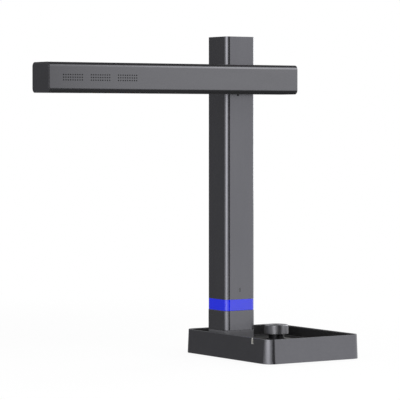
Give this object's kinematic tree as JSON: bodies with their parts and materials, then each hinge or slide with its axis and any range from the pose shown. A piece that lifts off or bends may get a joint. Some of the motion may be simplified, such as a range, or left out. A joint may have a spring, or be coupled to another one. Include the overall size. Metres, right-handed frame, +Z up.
{
  "type": "document scanner",
  "caption": "Overhead document scanner: a square column stands in an open tray base with a push-and-turn knob and carries a camera arm that folds down in front of it.",
  "frame": {"origin": "on the desk under the middle of the base's underside", "axes": "+Z up; +X along the arm from its camera end to its short end; -Y is the side of the column that carries the arm"},
  "size_m": [0.4113, 0.187, 0.4008],
  "materials": {
    "base_shell": "satin",
    "liner_black": "matte",
    "plate_black": "satin",
    "foot_rubber": "matte",
    "screw_zinc": "satin",
    "screw_black": "satin",
    "weight_steel": "matte",
    "board_green": "satin",
    "socket_steel": "satin",
    "encoder_metal": "satin",
    "ribbon": "satin",
    "collar_dark": "satin",
    "foot_cast": "satin",
    "sleeve_grey": "satin",
    "band_blue": "gloss",
    "led_white": "satin",
    "window_smoked": "gloss",
    "column_grey": "satin",
    "hinge_aluminium": "satin",
    "hinge_bronze": "satin",
    "hinge_steel": "satin",
    "lead_black": "satin",
    "arm_grey": "satin",
    "cap_grey": "satin",
    "cover_grey": "satin",
    "housing_black": "matte",
    "lens_coated": "gloss",
    "window_glass": "gloss",
    "bezel_metal": "satin",
    "bar_frosted": "satin",
    "grille_black": "matte",
    "speaker_black": "matte",
    "plunger_white": "satin",
    "hub_black": "satin",
    "knob_metal": "satin"
  },
  "bodies": {
    "stand": {"base_tray": "base_shell", "tray_liner": "liner_black", "bottom_plate": "plate_black", "counterweight": "weight_steel", "rubber_feet": "foot_rubber", "bottom_screws": "screw_zinc", "weight_screws": "screw_zinc", "main_board": "board_green", "board_screws": "screw_zinc", "usb_socket": "socket_steel", "encoder_body": "encoder_metal", "encoder_nut": "encoder_metal", "encoder_board": "board_green", "encoder_ribbon": "ribbon", "knob_collar": "collar_dark", "column_foot": "foot_cast", "foot_screws": "screw_zinc", "lower_sleeve": "sleeve_grey", "light_band": "band_blue", "led_strip": "led_white", "status_window": "window_smoked", "column_tube": "column_grey", "spigot_screws": "screw_black", "column_cap": "column_grey", "hinge_block": "hinge_aluminium", "block_screws": "screw_black", "block_grub_screw": "screw_black", "hinge_bush": "hinge_bronze", "friction_disc": "hinge_bronze", "stop_pin": "hinge_steel", "column_lead": "lead_black"},
    "arm": {"arm_shell": "arm_grey", "underside_cover": "cover_grey", "end_cap_left": "cap_grey", "end_cap_right": "cap_grey", "cover_screws": "screw_black", "arm_bracket": "hinge_steel", "hinge_shaft": "hinge_steel", "shaft_screws": "screw_zinc", "stop_washer": "hinge_steel", "disc_springs": "hinge_steel", "hinge_nut": "hinge_steel", "camera_housing": "housing_black", "camera_lens": "lens_coated", "camera_board": "board_green", "lens_window": "window_glass", "lens_bezel": "bezel_metal", "led_boards": "led_white", "light_bars": "bar_frosted", "grille_cloth": "grille_black", "speakers": "speaker_black", "microphone_board": "board_green", "arm_board": "board_green", "camera_ribbon": "ribbon", "arm_lead": "lead_black"},
    "push_plunger": {"press_plunger": "plunger_white"},
    "knob": {"encoder_shaft": "encoder_metal", "knob_hub": "hub_black", "knob_cap": "knob_metal"}
  },
  "joints": [
    {"name": "arm_fold", "type": "hinge", "parent": "stand", "child": "arm", "pos_m": [-0.0428, 0.028, 0.3468], "axis": [0, -1, 0], "range_deg": [0, 90]},
    {"name": "knob_press", "type": "slide", "parent": "stand", "child": "push_plunger", "axis": [0, 0, -1], "range_m": [0, 0.0015], "stiffness_N_per_m": 1500, "springref_m": -0.001},
    {"name": "knob_turn", "type": "hinge", "parent": "push_plunger", "child": "knob", "pos_m": [0.0267, 0.028, 0.03], "axis": [0, 0, 1], "continuous": true}
  ]
}
